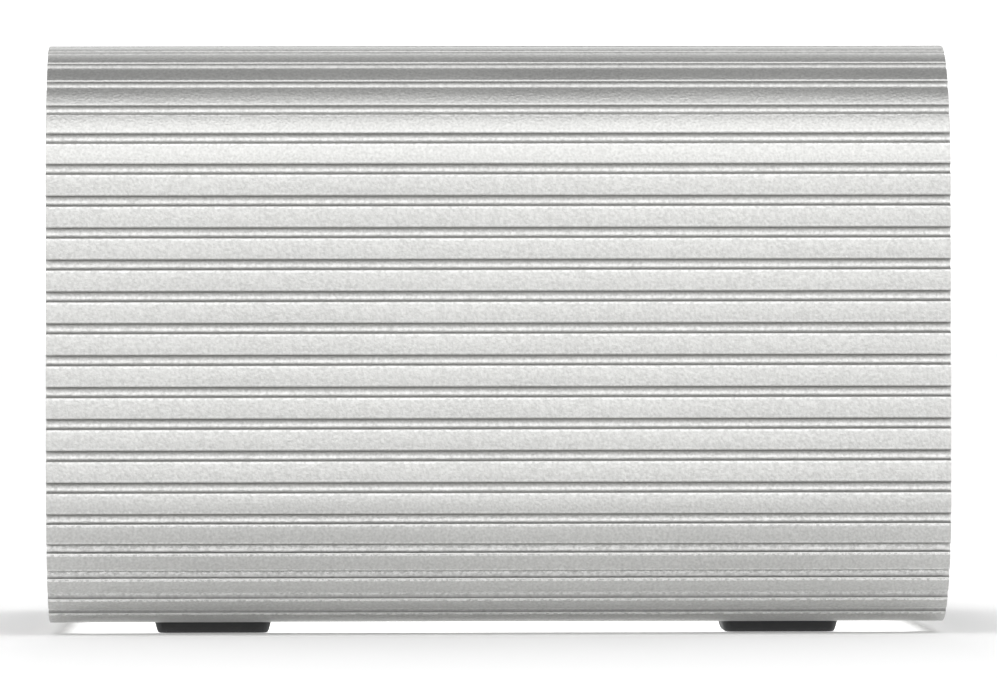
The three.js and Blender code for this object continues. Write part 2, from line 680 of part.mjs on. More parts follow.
// An upright electrolytic capacitor with a rolled groove near its base.
function capacitor(radius, height) {
  const groove = cut(
    post(radius + 1, 3, 4, 0, 0, 20),
    post(radius - 0.5, 2, 5, 0, 0, 20),
  );
  return cut(post(radius, GAP, height, 0, 0, 20), groove);
}

// A transistor in a flat package, standing on its three legs with its metal tab to -Y.
function transistor() {
  const legs = [-2.54, 0, 2.54].map((x) => block(x - 0.45, x + 0.45, 0.9, 1.5, GAP, 5));
  const tab = cut(
    block(-5.1, 5.1, -0.7, 0.6, 4.6, 20),
    prism(outlineOf(ringPoints(1.8, 12, 0, 17)), -2, 2),
  );
  return join(block(-5.1, 5.1, 0, 3.7, 4.6, 13.6), tab, ...legs);
}

function ringPoints(radius, sides, centreX, centreY) {
  return Array.from({ length: sides }, (_, i) => {
    const turn = (2 * Math.PI * i) / sides;
    return [centreX + radius * Math.cos(turn), centreY + radius * Math.sin(turn)];
  });
}

// A wire with rounded bends through the given points.
function lead(points, radius) {
  const path = new THREE.CatmullRomCurve3(points.map((p) => new THREE.Vector3(...p)));
  const section = outlineOf(ringPoints(radius, 8, 0, 0));
  return new THREE.ExtrudeGeometry(section, { steps: 8, bevelEnabled: false, extrudePath: path });
}

// The output bridge in one moulded package, on a row of legs.
function bridgeModule() {
  const legs = [-14, -7, 0, 7, 14].map((x) => block(x - 0.5, x + 0.5, -1.4, -0.8, GAP, 5));
  return join(block(-17, 17, -2.2, 1.6, 4.6, 22), ...legs);
}

function filterInductor() {
  return cut(post(11.5, GAP, 11, 0, 0, 28), post(5.5, -1, 13, 0, 0, 20));
}

// A heavy lead from a DC terminal to the board, with its crimped lug clamped under the stud's nut.
// Drawn in the rear end's frame, on the terminal's axis.
function dcLead() {
  const face = WELL.floor - WELL.back;
  const ring = cut(
    bar(TERMINAL.collar, face - LUG.thick, face - GAP, 0, 0, 16),
    bar(TERMINAL.stud + GAP, 0, face, 0, 0, 16),
  );
  const tongue = block(face - LUG.thick, face - GAP, -2.2, 2.2, -LUG.drop, -TERMINAL.stud - 1);
  const bottom = BOARD_TOP - BODY_MIDDLE - TERMINAL.z + 0.4;
  const bend = [
    [face - 0.6, 0, 1.5 - LUG.drop],
    [face - 3.4, 0, 1 - LUG.drop],
    [face - 5.6, 0, -LUG.drop - 0.6],
    [face - 6.4, 0, bottom],
  ];
  return join(ring, tongue, solid(lead(bend, 1.6)));
}

const TRANSISTOR = { y: -46.9, xs: [-21, -8, 5, 18] };
const BACKING = { from: -28, to: 25 };

place(electronics, "main_board", mainBoard(), LAMINATE);
place(electronics, "transformer_core", transformerCore(), FERRITE, [7, -17, GAP]);
place(electronics, "transformer_bobbin", transformerBobbin(), OUTLET_PLASTIC, [7, -17, GAP]);
place(electronics, "transformer_winding", transformerWinding(), COPPER, [7, -17, GAP]);
[-34, -20.5, -7].forEach((y, i) => {
  place(electronics, `input_capacitor_${i + 1}`, capacitor(6.3, 25), CAN_SLEEVE, [-18.5, y, 0]);
});
place(electronics, "bulk_capacitor", capacitor(9, 32), CAN_SLEEVE, [12, 22, 0]);
place(electronics, "filter_inductor", filterInductor(), COPPER, [-14, 16, 0]);
place(electronics, "alarm_buzzer", post(5, GAP, 8, 0, 0, 20), BLACK_PLASTIC, [-18, 34, 0]);
place(electronics, "control_board", block(-24, 22, -0.8, 0.8, GAP, 24), LAMINATE, [0, 41, 0]);
place(electronics, "bridge_module", bridgeModule(), BLACK_PLASTIC, [0, 46.5, 0]);
TRANSISTOR.xs.forEach((x, i) => {
  place(electronics, `power_transistor_${i + 1}`, transistor(), BLACK_PLASTIC, [x, TRANSISTOR.y, 0]);
});

// Between the transistors' backs and the sleeve's wall: an aluminium bar, and a soft pad behind it.
const { from, to } = BACKING;
const wall = -INNER_WIDTH / 2;
const clampFrom = TRANSISTOR.y + 3.7 + GAP;
const spreader = block(from, to, wall + 0.7, TRANSISTOR.y - 0.7 - GAP, 3.6, 21);
place(electronics, "transistor_clamp", block(from, to, clampFrom, clampFrom + 1.5, 7, 12), STEEL);
place(electronics, "heat_spreader", spreader, ANODISED);
place(electronics, "thermal_pad", block(from, to, wall + GAP, wall + 0.6, 3.6, 21), SILICONE);

export default inverter;
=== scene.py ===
"""Looks of the micro inverter: a ribbed, bead-blasted aluminium case on rubber feet, seen from its side.

Lengths are written in millimetres and turned into metres with MM. Each end of the case is drawn in
its own frame, with x pointing out of the panel, y to the side and z up from the middle of the case."""

import json
import math

import bpy
from mathutils import Matrix, Vector
from mathutils.geometry import tessellate_polygon


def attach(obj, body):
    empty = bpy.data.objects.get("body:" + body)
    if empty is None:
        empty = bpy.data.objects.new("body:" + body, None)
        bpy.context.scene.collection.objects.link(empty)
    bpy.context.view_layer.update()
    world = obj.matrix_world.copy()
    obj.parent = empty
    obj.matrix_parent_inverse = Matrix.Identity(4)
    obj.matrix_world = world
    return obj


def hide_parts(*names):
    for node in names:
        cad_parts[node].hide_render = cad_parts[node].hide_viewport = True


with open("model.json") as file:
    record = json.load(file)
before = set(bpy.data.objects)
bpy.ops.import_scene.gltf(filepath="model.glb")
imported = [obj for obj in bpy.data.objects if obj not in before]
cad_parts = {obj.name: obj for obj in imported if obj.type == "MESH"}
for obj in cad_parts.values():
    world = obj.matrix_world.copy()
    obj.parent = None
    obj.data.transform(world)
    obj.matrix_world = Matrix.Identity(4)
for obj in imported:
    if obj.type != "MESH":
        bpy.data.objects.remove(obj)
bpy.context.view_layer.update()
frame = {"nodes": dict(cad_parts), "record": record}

MM = 0.001
BODY = "inverter"

# The case, as the CAD model has it. GROOVES counts one half of the section, from the top's middle down.
LENGTH, WIDTH, HEIGHT, SHOULDER, WALL = 100.0, 108.0, 64.5, 15.0, 2.2
GROOVE_PITCH, GROOVE_RADIUS, LIP_RADIUS, GROOVES = 3.52, 0.58, 0.2, 33
FOOT_HEIGHT = 1.25
FOOT_X, FOOT_Y = 31.8, 31.5
MIDDLE = FOOT_HEIGHT + HEIGHT / 2
PANEL_FACE, PANEL_BACK = 45.0, 43.0
PANEL_GAP = 0.3
SCREW_INSET = 8.2825

FRONT = Matrix.Translation((0, 0, MIDDLE))
REAR = Matrix.Translation((0, 0, MIDDLE)) @ Matrix.Rotation(math.pi, 4, "Z")
UPRIGHT = Matrix.Identity(4)


# ---------------------------------------------------------------- meshes
def piece(name, verts, faces, material, body=BODY, where=UPRIGHT, replaces=(), smooth=35):
    """A mesh object from millimetre vertices, riding on a CAD body."""
    mesh = bpy.data.meshes.new(name)
    mesh.from_pydata([(where @ Vector(v)) * MM for v in verts], [], faces)
    mesh.validate()
    mesh.polygons.foreach_set("use_smooth", [True] * len(mesh.polygons))
    mesh.set_sharp_from_angle(angle=math.radians(smooth))
    obj = bpy.data.objects.new(name, mesh)
    bpy.context.collection.objects.link(obj)
    obj.data.materials.append(material)
    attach(obj, body)
    if replaces:
        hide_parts(*replaces)
    return obj


def join(*parts):
    """Several (verts, faces) as one."""
    verts, faces = [], []
    for v, f in parts:
        start = len(verts)
        verts += [tuple(p) for p in v]
        faces += [tuple(i + start for i in face) for face in f]
    return verts, faces


def moved(part, matrix):
    """The part, as (verts, faces), turned and shifted by the matrix."""
    verts, faces = part
    return [tuple(matrix @ Vector(v)) for v in verts], faces


def box(x0, x1, y0, y1, z0, z1, bevel=0.0):
    """A block, with its edges rounded where bevel is given."""
    return plate([[(y0, z0), (y1, z0), (y1, z1), (y0, z1)]], x0, x1, bevel)


def inset(outline, amount):
    """A closed outline moved to its left, which is into the material."""
    count = len(outline)
    result = []
    for i, (x, y) in enumerate(outline):
        ax, ay = outline[i - 1]
        bx, by = outline[(i + 1) % count]
        ux, uy = x - ax, y - ay
        vx, vy = bx - x, by - y
        lu, lv = math.hypot(ux, uy) or 1e-9, math.hypot(vx, vy) or 1e-9
        nx, ny = -(uy / lu + vy / lv), ux / lu + vx / lv
        size = nx * nx + ny * ny
        scale = 2 / size if size > 0.5 else 4.0
        result.append((x + nx * scale * amount, y + ny * scale * amount))
    return result


def area(outline):
    """Twice the area of a closed outline, and negative when it runs clockwise."""
    return sum(a[0] * b[1] - b[0] * a[1] for a, b in zip(outline, outline[1:] + outline[:1]))


def plate(outlines, x0, x1, bevel=0.2, steps=2, back_bevel=None):
    """A slab of outlines in y and z, from x0 to x1, with rounded edges. The first outline is the
    outside and the others are holes."""
    turned = [o if (area(o) > 0) == (i == 0) else o[::-1] for i, o in enumerate(outlines)]
    back_bevel = bevel if back_bevel is None else back_bevel
    turns = [math.pi / 2 * i / steps for i in range(steps + 1)]
    levels = [(x0 + back_bevel * (1 - math.cos(t)), back_bevel * (1 - math.sin(t))) for t in turns]
    levels += [(x1 - bevel * (1 - math.sin(t)), bevel * (1 - math.cos(t))) for t in turns]
    shapes = [[inset(o, depth) if depth > 1e-6 else o for o in turned] for _, depth in levels]
    verts, faces = [], []
    for (x, _), shape in zip(levels, shapes):
        verts += [(x, y, z) for outline in shape for y, z in outline]
    ring = sum(len(outline) for outline in turned)
    for level in range(len(levels) - 1):
        start = level * ring
        for outline in turned:
            n = len(outline)
            for i in range(n):
                j = (i + 1) % n
                faces.append((start + i, start + j, start + ring + j, start + ring + i))
            start += n
    for start, shape, is_back in ((0, shapes[0], True), (len(verts) - ring, shapes[-1], False)):
        for triangle in tessellate_polygon([[Vector((y, z, 0)) for y, z in o] for o in shape]):
            a, b, c = (start + k for k in triangle)
            pa, pb, pc = (Vector(verts[k][1:]) for k in (a, b, c))
            faces_front = (pb - pa).cross(pc - pa) > 0
            faces.append((a, b, c) if faces_front != is_back else (a, c, b))
    return verts, faces


def circle(radius, y=0.0, z=0.0, sides=48):
    """A round outline, or a regular one of a few sides."""
    turns = [2 * math.pi * i / sides for i in range(sides)]
    return [(y + radius * math.cos(t), z + radius * math.sin(t)) for t in turns]


def rounded(width, height, radius, y=0.0, z=0.0, steps=8):
    """A rectangle with round corners."""
    points = []
    for k, (sy, sz) in enumerate(((1, 1), (-1, 1), (-1, -1), (1, -1))):
        corner_y, corner_z = y + sy * (width / 2 - radius), z + sz * (height / 2 - radius)
        for i in range(steps + 1):
            turn = math.pi / 2 * (k + i / steps)
            points.append((corner_y + radius * math.cos(turn), corner_z + radius * math.sin(turn)))
    return points


def revolved(profile, sides=48):
    """A closed shape turned about x from (radius, x) points that start and end on the axis."""
    verts, faces, rings = [], [], []
    for radius, x in profile:
        if radius < 1e-6:
            rings.append([len(verts)])
            verts.append((x, 0.0, 0.0))
        else:
            rings.append(list(range(len(verts), len(verts) + sides)))
            verts += [(x, y, z) for y, z in circle(radius, sides=sides)]
    for low, high in zip(rings, rings[1:]):
        for i in range(sides):
            j = (i + 1) % sides
            a, b = low[i % len(low)], low[j % len(low)]
            c, d = high[j % len(high)], high[i % len(high)]
            faces.append(tuple(dict.fromkeys((a, d, c, b))))  # a triangle at the axis
    return verts, faces


# ---------------------------------------------------------------- materials
def material(name, color, roughness, metallic=0.0, **sockets):
    """A Principled material, and a small kit to wire textures into it. Lengths are in metres."""
    made = bpy.data.materials.new(name)
    made.use_nodes = True
    tree = made.node_tree
    shader = tree.nodes["Principled BSDF"]
    shader.inputs["Base Color"].default_value = (*color, 1)
    shader.inputs["Roughness"].default_value = roughness
    shader.inputs["Metallic"].default_value = metallic
    for key, value in sockets.items():
        shader.inputs[key.replace("_", " ")].default_value = value
    return made, tree, shader


def noise_node(tree, scale, detail=2.0, stretch=(1, 1, 1)):
    """Noise with that many features per metre, stretched along the axes."""
    coords = tree.nodes.new("ShaderNodeTexCoord")
    mapping = tree.nodes.new("ShaderNodeMapping")
    mapping.inputs["Scale"].default_value = stretch
    texture = tree.nodes.new("ShaderNodeTexNoise")
    texture.inputs["Scale"].default_value = scale
    texture.inputs["Detail"].default_value = detail
    tree.links.new(coords.outputs["Object"], mapping.inputs["Vector"])
    tree.links.new(mapping.outputs["Vector"], texture.inputs["Vector"])
    return texture.outputs["Fac"]


def ramp(tree, value, low, high, start=0.3, end=0.7):
    """value, remapped so that start gives low and end gives high."""
    node = tree.nodes.new("ShaderNodeMapRange")
    node.inputs["From Min"].default_value = start
    node.inputs["From Max"].default_value = end
    node.inputs["To Min"].default_value = low
    node.inputs["To Max"].default_value = high
    tree.links.new(value, node.inputs["Value"])
    return node.outputs["Result"]


def mixed(tree, factor, first, second):
    """From first to second as the factor goes from 0 to 1. Each is a plain colour or an output."""
    node = tree.nodes.new("ShaderNodeMix")
    node.data_type = "RGBA"
    tree.links.new(factor, node.inputs["Factor"])
    for socket, source in (("A", first), ("B", second)):
        if isinstance(source, tuple):
            node.inputs[socket].default_value = (*source, 1)
        else:
            tree.links.new(source, node.inputs[socket])
    return node.outputs["Result"]


def attribute(tree, name):
    """A value that the mesh carries on its vertices."""
    node = tree.nodes.new("ShaderNodeAttribute")
    node.attribute_name = name
    return node.outputs["Fac"]


def product(tree, first, second):
    """Two values multiplied."""
    node = tree.nodes.new("ShaderNodeMath")
    node.operation = "MULTIPLY"
    tree.links.new(first, node.inputs[0])
    tree.links.new(second, node.inputs[1])
    return node.outputs[0]


def bump(tree, shader, height, distance):
    """Adds a relief of that depth in metres, on top of any the shader has."""
    node = tree.nodes.new("ShaderNodeBump")
    node.inputs["Distance"].default_value = distance
    tree.links.new(height, node.inputs["Height"])
    for link in shader.inputs["Normal"].links:
        tree.links.new(link.from_socket, node.inputs["Normal"])
    tree.links.new(node.outputs["Normal"], shader.inputs["Normal"])


def blasted_aluminium():
    """Extruded aluminium, bead-blasted and clear anodised: fine bright grain over faint die lines, with
    painted shade in the grooves and painted highlights on the lips, which are also smoother.
    """
    made, tree, shader = material("blasted_aluminium", (0.54, 0.54, 0.53), 0.42, 1.0)
    grain = noise_node(tree, 3250, 2.5)
    pits = noise_node(tree, 9000, 2.0)
    die_lines = noise_node(tree, 900, 2.0, (0.012, 1, 1))
    cloud = noise_node(tree, 60, 3.0, (0.5, 1, 1))
    light = mixed(tree, grain, (0.415, 0.415, 0.407), (0.745, 0.745, 0.73))
    dim = mixed(tree, grain, (0.39, 0.39, 0.383), (0.695, 0.695, 0.682))
    tone = mixed(tree, ramp(tree, cloud, 0, 1), dim, light)
    # Painted highlight on the groove lips, broken up by noise. The lips also get a smoother polish.
    sparkle = ramp(tree, noise_node(tree, 2900, 2.0, (0.8, 1, 1)), 0.1, 1.0, 0.4, 0.6)
    painted_highlight_and_polish = product(tree, attribute(tree, "edge"), sparkle)
    tone = mixed(tree, painted_highlight_and_polish, tone, (0.9, 0.9, 0.89))
    # Painted shade down in the grooves, darkest on their steep walls.
    tone = mixed(tree, attribute(tree, "painted_shade"), tone, (0.09, 0.09, 0.088))
    tree.links.new(tone, shader.inputs["Base Color"])
    gloss = mixed(tree, painted_highlight_and_polish, ramp(tree, cloud, 0.39, 0.46), (0.24, 0.24, 0.24))
    tree.links.new(gloss, shader.inputs["Roughness"])
    bump(tree, shader, grain, 0.000055)
    bump(tree, shader, pits, 0.000008)
    bump(tree, shader, die_lines, 0.000006)
    return made


def moulded_rubber():
    """Black rubber with a dusty bloom."""
    made, tree, shader = material("moulded_rubber", (0.04, 0.04, 0.042), 0.62, Specular_IOR_Level=0.3)
    skin = noise_node(tree, 2500, 3.0)
    bloom = noise_node(tree, 300, 3.0)
    tone = mixed(tree, bloom, (0.032, 0.0325, 0.0335), (0.052, 0.0525, 0.054))
    tree.links.new(tone, shader.inputs["Base Color"])
    tree.links.new(ramp(tree, bloom, 0.55, 0.72), shader.inputs["Roughness"])
    bump(tree, shader, skin, 0.00003)
    return made


def coated(name, dark, light, roughness, texture, relief, **sockets):
    """A painted or moulded surface: a fine texture, with slow changes of shade and gloss. Texture is
    features per metre and relief is their depth in metres."""
    made, tree, shader = material(name, dark, roughness, **sockets)
    skin = noise_node(tree, texture, 3.0)
    cloud = noise_node(tree, 130, 3.0)
    tree.links.new(mixed(tree, cloud, dark, light), shader.inputs["Base Color"])
    tree.links.new(ramp(tree, cloud, roughness * 0.88, roughness * 1.15), shader.inputs["Roughness"])
    bump(tree, shader, skin, relief)
    return made


def metal(name, dark, light, roughness):
    """Bare or plated metal with fine marks and slow tarnish."""
    made, tree, shader = material(name, light, roughness, 1.0)
    marks = noise_node(tree, 6000, 3.0)
    tarnish = noise_node(tree, 500, 4.0)
    tree.links.new(mixed(tree, ramp(tree, tarnish, 0, 1), dark, light), shader.inputs["Base Color"])
    tree.links.new(ramp(tree, marks, roughness * 0.75, roughness * 1.35), shader.inputs["Roughness"])
    bump(tree, shader, marks, 0.000004)
    return made


def circuit_board():
    """Green solder mask with raised tracks under it."""
    made, tree, shader = material("circuit_board", (0.02, 0.12, 0.05), 0.3)
    coords = tree.nodes.new("ShaderNodeTexCoord")
    tracks = tree.nodes.new("ShaderNodeTexVoronoi")
    tracks.feature = "DISTANCE_TO_EDGE"
    tracks.inputs["Scale"].default_value = 350
    tree.links.new(coords.outputs["Object"], tracks.inputs["Vector"])
    line = ramp(tree, tracks.outputs["Distance"], 0, 1, 0.1, 0.16)
    tree.links.new(mixed(tree, line, (0.03, 0.2, 0.08), (0.015, 0.1, 0.045)), shader.inputs["Base Color"])
    bump(tree, shader, line, 0.00003)
    return made


def winding(name, dark, light):
    """Rows of enamelled wire."""
    made, tree, shader = material(name, light, 0.3, 0.85, Coat_Weight=0.4)
    coords = tree.nodes.new("ShaderNodeTexCoord")
    rows = tree.nodes.new("ShaderNodeTexWave")
    rows.bands_direction = "Z"
    rows.inputs["Scale"].default_value = 300
    rows.inputs["Distortion"].default_value = 0.6
    tree.links.new(coords.outputs["Object"], rows.inputs["Vector"])
    tree.links.new(mixed(tree, rows.outputs["Fac"], dark, light), shader.inputs["Base Color"])
    bump(tree, shader, rows.outputs["Fac"], 0.0002)
    return made


ALUMINIUM = blasted_aluminium()
RUBBER = moulded_rubber()
POWDER = coated("powder_coat", (0.012, 0.0125, 0.013), (0.02, 0.0205, 0.021), 0.48, 1900, 0.00008)
BLACK = coated("black_plastic", (0.012, 0.0125, 0.0135), (0.02, 0.0205, 0.022), 0.42, 3200, 0.00003)
OUTLET = coated("outlet_plastic", (0.022, 0.023, 0.026), (0.032, 0.033, 0.037), 0.34, 4200, 0.000012)
ROCKER = coated("rocker_plastic", (0.01, 0.01, 0.011), (0.016, 0.016, 0.018), 0.26, 5000, 0.000008)
RED = coated("red_plastic", (0.42, 0.014, 0.012), (0.52, 0.024, 0.018), 0.32, 3600, 0.00002)
FUSE = coated("fuse_plastic", (0.03, 0.34, 0.12), (0.05, 0.42, 0.16), 0.2, 4000, 0.000008,
              Transmission_Weight=0.45, IOR=1.5)
GREEN_LENS = coated("green_lens", (0.03, 0.36, 0.09), (0.05, 0.44, 0.13), 0.16, 5000, 0.000005,
                    Transmission_Weight=0.3)
RED_LENS = coated("red_lens", (0.42, 0.02, 0.014), (0.52, 0.035, 0.02), 0.16, 5000, 0.000005,
                  Transmission_Weight=0.3)
ZINC = metal("zinc_plate", (0.5, 0.51, 0.53), (0.66, 0.67, 0.68), 0.28)
TIN = metal("tinned_blade", (0.52, 0.52, 0.52), (0.68, 0.68, 0.67), 0.32)
BRASS = metal("brass", (0.5, 0.34, 0.13), (0.68, 0.5, 0.22), 0.26)
BOARD = circuit_board()
FERRITE = coated("ferrite", (0.022, 0.023, 0.026), (0.04, 0.041, 0.045), 0.6, 1500, 0.00006)
COPPER = winding("copper_winding", (0.3, 0.09, 0.03), (0.62, 0.25, 0.09))
CAN = coated("capacitor_sleeve", (0.008, 0.012, 0.03), (0.014, 0.02, 0.05), 0.24, 900, 0.00002)
SILICONE = coated("silicone", (0.26, 0.29, 0.34), (0.32, 0.35, 0.4), 0.8, 1500, 0.00005)
RED_WIRE = coated("red_wire", (0.4, 0.016, 0.014), (0.5, 0.03, 0.02), 0.4, 1500, 0.00002)
BLACK_WIRE = coated("black_wire", (0.01, 0.01, 0.011), (0.018, 0.018, 0.02), 0.4, 1500, 0.00002)

# The look of each CAD node that is kept, by its slot in the record.
BY_SLOT = {
    "anodised": ALUMINIUM, "panel": POWDER, "rubber": RUBBER, "black_plastic": BLACK,
    "outlet_plastic": OUTLET, "steel": ZINC, "brass": BRASS, "red_plastic": RED,
    "fuse_plastic": FUSE, "green_lens": GREEN_LENS, "red_lens": RED_LENS, "laminate": BOARD,
    "ferrite": FERRITE, "copper": COPPER, "can": CAN, "silicone": SILICONE,
    "red_wire": RED_WIRE, "black_wire": BLACK_WIRE,
}


# ---------------------------------------------------------------- sleeve
LAND_CROWN, CROWN_REACH = 12.0, 0.98  # the lands' radius, and where they stop falling away
UPPER_EDGE, LOWER_EDGE = 0.3, 0.85  # how much painted highlight and smoother polish a groove's upper and lower lips get
# From this groove down, counted from the top's middle, the grooves get more painted shade and their lips more
# painted highlight.
SHADED_FROM, SHADED_OVER = 27, 3


def on_sleeve(s, out=0.0):
    """The point of the sleeve's section at arc length s from the middle of the top, moved outwards."""
    flat = WIDTH / 2 - SHOULDER
    side = HEIGHT - 2 * SHOULDER
    arc = SHOULDER * math.pi / 2
    radius = SHOULDER + out
    if s <= flat:
        return s, HEIGHT / 2 + out
    if s <= flat + arc:
        turn = (s - flat) / SHOULDER
        return flat + radius * math.sin(turn), side / 2 + radius * math.cos(turn)
    if s <= flat + arc + side:
        return WIDTH / 2 + out, side / 2 - (s - flat - arc)
    if s <= flat + 2 * arc + side:
        turn = (s - flat - arc - side) / SHOULDER
        return flat + radius * math.cos(turn), -side / 2 - radius * math.sin(turn)
    return flat - (s - flat - 2 * arc - side), -HEIGHT / 2 - out


def groove_profile():
    """One groove across its middle, as (along, outwards, shade, edge): a half-round channel with
    rounded lips. Shade is painted shade, 1 on the channel's steep walls, and edge is 1 where a lip gets a
    painted highlight and a smoother polish."""
    lip_x = math.sqrt((GROOVE_RADIUS + LIP_RADIUS) ** 2 - LIP_RADIUS**2)
    lean = math.atan2(LIP_RADIUS, lip_x)
    # A lip's points: the painted highlight is strongest on its outer rounding, and the painted shade grows as
    # it turns down into the channel.
    points = [(-lip_x - 0.2, 0.0, 0.0, 0.0), (-lip_x - 0.05, 0.0, 0.0, 0.85)]
    edges = (0.85, 0.6, 0.2, 0.0, 0.0, 0.0)
    lip_steps, channel_steps = len(edges), 14
    for i, edge in enumerate(edges):
        turn = math.pi / 2 - (math.pi / 2 + lean) * i / lip_steps
        along = -lip_x + LIP_RADIUS * math.cos(turn)
        painted_shade = max(0.0, i / lip_steps - 0.5) * 1.6
        points.append((along, LIP_RADIUS * (math.sin(turn) - 1), painted_shade, edge))
    for i in range(channel_steps + 1):
        turn = math.pi + lean + (math.pi - 2 * lean) * i / channel_steps
        # Painted shade on the channel's steep walls, and a faint painted highlight along its floor.
        painted_shade = 0.95 * abs(math.cos(turn)) ** 2.5
        edge = 0.4 * abs(math.sin(turn)) ** 3
        points.append((GROOVE_RADIUS * math.cos(turn), GROOVE_RADIUS * math.sin(turn), painted_shade, edge))
    lip, channel = points[:lip_steps + 2], points[lip_steps + 2:]
    upper = [(along, out, painted_shade, UPPER_EDGE * edge) for along, out, painted_shade, edge in lip]
    lower = [(-along, out, painted_shade, LOWER_EDGE * edge) for along, out, painted_shade, edge in lip[::-1]]
    return upper + channel + lower


def crown(along):
    """How far a land has fallen from its middle, at that distance from a groove's middle."""
    off = min(abs(GROOVE_PITCH / 2 - abs(along)), CROWN_REACH)
    return off**2 / (2 * LAND_CROWN)


def sleeve_outline():
    """The outer section, as (y, z, shade, edge), from the top's middle down the +y side and up again. Shade
    is painted shade and edge is painted lip highlight with polish.
    """
    profile = groove_profile()
    reach = profile[-1][0]
    land = GROOVE_PITCH - 2 * reach
    half = []
    for k in range(GROOVES):
        middle = (k + 0.5) * GROOVE_PITCH
        # Lower grooves get deeper painted shade and stronger painted lip highlights.
        shaded = min(1.0, max(0.0, (k - SHADED_FROM) / SHADED_OVER))
        for along, out, painted_shade, edge in profile:
            place = on_sleeve(middle + along, out - crown(along))
            half.append((*place, painted_shade * (0.667 + 0.333 * shaded), edge * (0.75 + 1.4 * shaded)))
        if k + 1 < GROOVES:
            for i in range(1, 6):
                along = reach + land * i / 6
                half.append((*on_sleeve(middle + along, -crown(along)), 0.0, 0.0))
    bottom_arc_end = WIDTH / 2 + HEIGHT - 3 * SHOULDER + math.pi * SHOULDER
    last = (GROOVES - 0.5) * GROOVE_PITCH + reach
    half += [(*on_sleeve(last + (bottom_arc_end - last) * i / 10), 0.0, 0.0) for i in range(1, 11)]
    return half + [(-y, *rest) for y, *rest in half[::-1]]


def add_sleeve():
    """The sleeve, with each vertex told how much painted shade and how much painted lip highlight and polish
    it gets.
    """
    section = sleeve_outline()[::-1]
    inner = rounded(WIDTH - 2 * WALL, HEIGHT - 2 * WALL, SHOULDER - WALL, steps=24)
    outer = [point[:2] for point in section]
    verts, faces = plate([outer, inner], -LENGTH / 2, LENGTH / 2, bevel=0.14, steps=3)
    obj = piece("sleeve", verts, faces, ALUMINIUM, where=FRONT, replaces=["housing_sleeve"], smooth=50)
    for column, name in ((2, "painted_shade"), (3, "edge")):
        values = [point[column] for point in section] + [0.0] * len(inner)
        layer = obj.data.attributes.new(name, "FLOAT", "POINT")
        layer.data.foreach_set("value", values * (len(obj.data.vertices) // len(values)))


add_sleeve()


# ---------------------------------------------------------------- feet
FOOT_SIZE, FOOT_CORNER = 13.05, 1.3


def foot_pad():
    """A moulded square pad with a rounded lower edge, standing on z = 0."""
    # Heights, and how far the sides have drawn in there.
    levels = ((0.0, 0.6), (0.05, 0.42), (0.2, 0.32), (0.5, 0.2), (0.9, 0.1), (FOOT_HEIGHT, 0.0))
    verts, faces = [], []
    for z, drawn_in in levels:
        size = FOOT_SIZE - 2 * drawn_in
        verts += [(x, y, z) for x, y in rounded(size, size, FOOT_CORNER - drawn_in * 0.5, steps=6)]
    count = len(verts) // len(levels)
    for start in range(0, len(verts) - count, count):
        for i in range(count):
            j = (i + 1) % count
            faces.append((start + i, start + j, start + count + j, start + count + i))
    faces.append(tuple(range(count))[::-1])
    faces.append(tuple(range(len(verts) - count, len(verts))))
    return verts, faces


for i, (sx, sy) in enumerate(((-1, -1), (1, -1), (-1, 1), (1, 1))):
    place = Matrix.Translation((FOOT_X * sx, FOOT_Y * sy, 0))
    piece(f"foot_{i + 1}", *foot_pad(), RUBBER, where=place, replaces=[f"rubber_foot_{i + 1}"])


# ---------------------------------------------------------------- pieces shared by both ends
SCREW_Y, SCREW_Z = WIDTH / 2 - SCREW_INSET, HEIGHT / 2 - SCREW_INSET
SCREWS = [(sy * SCREW_Y, sz * SCREW_Z) for sy, sz in ((1, 1), (-1, 1), (-1, -1), (1, -1))]
SCREW_HOLE = 1.7


def panel_outline():
    """An end panel, a little smaller than the sleeve's inside."""
    edge = WALL + PANEL_GAP
    return rounded(WIDTH - 2 * edge, HEIGHT - 2 * edge, SHOULDER - edge, steps=16)


def cut_away(part, *cutters):
    """part less the cutters, as (verts, faces)."""
    def as_object(shape, name):
        mesh = bpy.data.meshes.new(name)
        mesh.from_pydata(shape[0], [], shape[1])
        obj = bpy.data.objects.new(name, mesh)
        bpy.context.collection.objects.link(obj)
        return obj

    body = as_object(part, "body")
    tools = [as_object(shape, "tool") for shape in cutters]
    for tool in tools:
        modifier = body.modifiers.new("cut", "BOOLEAN")
        modifier.operation = "DIFFERENCE"
        modifier.solver = "EXACT"
        modifier.object = tool
    bpy.context.view_layer.update()
    done = body.evaluated_get(bpy.context.evaluated_depsgraph_get()).to_mesh()
    result = [tuple(v.co) for v in done.vertices], [tuple(f.vertices) for f in done.polygons]
    for obj in (body, *tools):
        bpy.data.objects.remove(obj)
    return result


def pan_screw(head, shank, length, recess, washer=None):
    """A pan-head screw, its head's underside at x = 0. Head and shank are radii, and recess is how far
    the cross in the head reaches."""
    rim, dome, recess_floor, arm = 0.62, 1.08, 0.75, 0.36
    rise = [(head - 0.12, 0.1), (head, 0.25), (head, rim)]
    for i in range(1, 8):
        turn = math.pi / 2 * i / 8
        rise.append((head * math.cos(turn) ** 0.7, rim + dome * math.sin(turn)))
    body = revolved([(0, -length), (shank, -length), (shank, 0.1), *rise, (0, rim + dome)], sides=40)
    made = cut_away(
        body,
        box(recess_floor, 3, -recess, recess, -arm, arm),
        box(recess_floor, 3, -arm, arm, -recess, recess),
    )
    if washer:
        made = join(made, plate([circle(washer)], 0.1, 0.9, 0.15))
    return made


